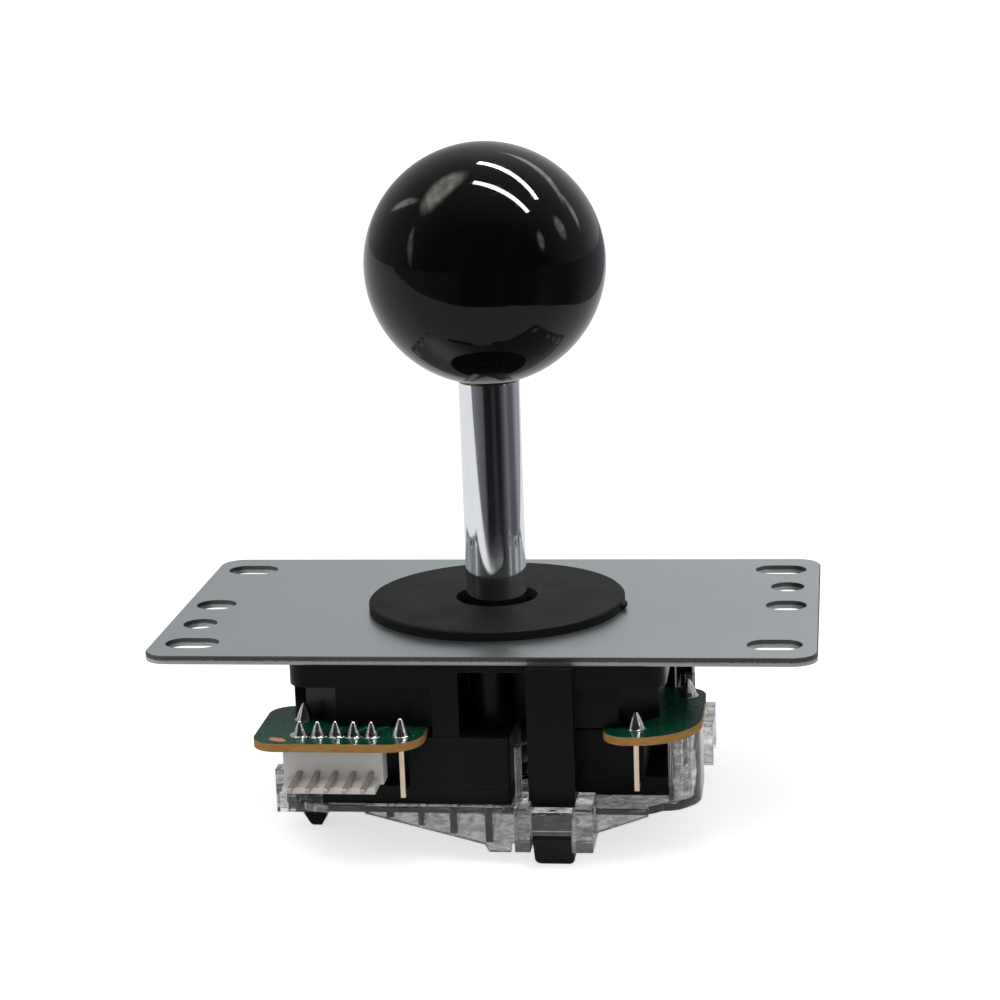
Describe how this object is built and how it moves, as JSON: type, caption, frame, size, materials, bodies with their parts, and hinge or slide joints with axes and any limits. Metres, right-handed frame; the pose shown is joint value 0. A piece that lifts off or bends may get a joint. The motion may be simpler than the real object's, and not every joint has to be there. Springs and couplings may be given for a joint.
{
  "type": "arcade joystick lever",
  "caption": "Ball-top arcade joystick lever with a chromed shaft, slotted steel mounting plate, black dust washer, moulded body, lever switches on a green circuit board and a clear square gate",
  "frame": {"origin": "on the lever's axis at rest, in the plane of the mounting plate's top face", "axes": "+Z along the shaft to the ball top; +X along the plate's long side; +Y away from the cable header"},
  "size_m": [0.095, 0.0695, 0.0988],
  "materials": {
    "ball_black": "moulded and polished",
    "shaft_chrome": "ground and chrome plated",
    "brass": "turned",
    "plate_zinc": "stamped and zinc plated",
    "body_black": "moulded, satin",
    "washer_black": "moulded, fine matt",
    "switch_black": "moulded",
    "plunger_white": "moulded",
    "natural_plastic": "moulded",
    "spring_steel": "drawn wire or strip",
    "board_green": "glass-fibre laminate with a green mask",
    "terminal_tin": "tinned brass strip",
    "solder": "tin solder",
    "clear_plastic": "clear moulding"
  },
  "bodies": {
    "base": {"dust_washer": "washer_black", "mounting_plate": "plate_zinc", "plate_screws": "spring_steel", "body_housing": "body_black", "spring_washer": "natural_plastic", "circuit_board": "board_green", "solder_joints": "solder", "header_housing": "natural_plastic", "header_pins": "terminal_tin", "gate_frame": "clear_plastic", "gate_disc": "clear_plastic", "switch_case_front": "switch_black", "switch_cover_front": "switch_black", "switch_terminals_front": "terminal_tin", "switch_case_right": "switch_black", "switch_cover_right": "switch_black", "switch_terminals_right": "terminal_tin", "switch_case_rear": "switch_black", "switch_cover_rear": "switch_black", "switch_terminals_rear": "terminal_tin", "switch_case_left": "switch_black", "switch_cover_left": "switch_black", "switch_terminals_left": "terminal_tin"},
    "spring": {"return_spring": "spring_steel"},
    "rocker": {"pivot_ball": "natural_plastic", "actuator": "body_black"},
    "stick": {"shaft": "shaft_chrome", "ball_top": "ball_black", "ball_insert": "brass", "e_ring": "spring_steel"},
    "lever_front": {"switch_lever_front": "spring_steel"},
    "plunger_front": {"switch_plunger_front": "plunger_white"},
    "lever_right": {"switch_lever_right": "spring_steel"},
    "plunger_right": {"switch_plunger_right": "plunger_white"},
    "lever_rear": {"switch_lever_rear": "spring_steel"},
    "plunger_rear": {"switch_plunger_rear": "plunger_white"},
    "lever_left": {"switch_lever_left": "spring_steel"},
    "plunger_left": {"switch_plunger_left": "plunger_white"}
  },
  "joints": [
    {"name": "tilt_x", "type": "hinge", "parent": "base", "child": "spring", "pos_m": [0, 0, -0.006], "axis": [1, 0, 0], "range_deg": [-7.5, 7.5], "stiffness_Nm_per_rad": 0.8, "deforming": ["return_spring"]},
    {"name": "tilt_y", "type": "hinge", "parent": "spring", "child": "rocker", "pos_m": [0, 0, -0.006], "axis": [0, 1, 0], "range_deg": [-7.5, 7.5], "stiffness_Nm_per_rad": 0.8, "deforming": ["return_spring"]},
    {"name": "shaft_spin", "type": "hinge", "parent": "rocker", "child": "stick", "pos_m": [0, 0, -0.006], "axis": [0, 0, 1], "continuous": true},
    {"name": "lever_front", "type": "hinge", "parent": "base", "child": "lever_front", "pos_m": [-0.0195, -0.0125, -0.0175], "axis": [0, 0, 1], "range_deg": [-4.6, 4.6]},
    {"name": "plunger_front", "type": "slide", "parent": "base", "child": "plunger_front", "axis": [0, -1, 0], "range_m": [-0.00085, 0.00085]},
    {"name": "lever_right", "type": "hinge", "parent": "base", "child": "lever_right", "pos_m": [0.0125, -0.0195, -0.0175], "axis": [0, 0, 1], "range_deg": [-4.6, 4.6]},
    {"name": "plunger_right", "type": "slide", "parent": "base", "child": "plunger_right", "axis": [1, 0, 0], "range_m": [-0.00085, 0.00085]},
    {"name": "lever_rear", "type": "hinge", "parent": "base", "child": "lever_rear", "pos_m": [0.0195, 0.0125, -0.0175], "axis": [0, 0, 1], "range_deg": [-4.6, 4.6]},
    {"name": "plunger_rear", "type": "slide", "parent": "base", "child": "plunger_rear", "axis": [0, 1, 0], "range_m": [-0.00085, 0.00085]},
    {"name": "lever_left", "type": "hinge", "parent": "base", "child": "lever_left", "pos_m": [-0.0125, 0.0195, -0.0175], "axis": [0, 0, 1], "range_deg": [-4.6, 4.6]},
    {"name": "plunger_left", "type": "slide", "parent": "base", "child": "plunger_left", "axis": [-1, 0, 0], "range_m": [-0.00085, 0.00085]}
  ],
  "couplings": [
    {"joint": "lever_front", "follows": "tilt_x", "ratio": 0.58974},
    {"joint": "plunger_front", "follows": "tilt_x", "m_per_rad": -0.0061923},
    {"joint": "lever_right", "follows": "tilt_y", "ratio": 0.58974},
    {"joint": "plunger_right", "follows": "tilt_y", "m_per_rad": -0.0061923},
    {"joint": "lever_rear", "follows": "tilt_x", "ratio": -0.58974},
    {"joint": "plunger_rear", "follows": "tilt_x", "m_per_rad": 0.0061923},
    {"joint": "lever_left", "follows": "tilt_y", "ratio": -0.58974},
    {"joint": "plunger_left", "follows": "tilt_y", "m_per_rad": 0.0061923}
  ]
}
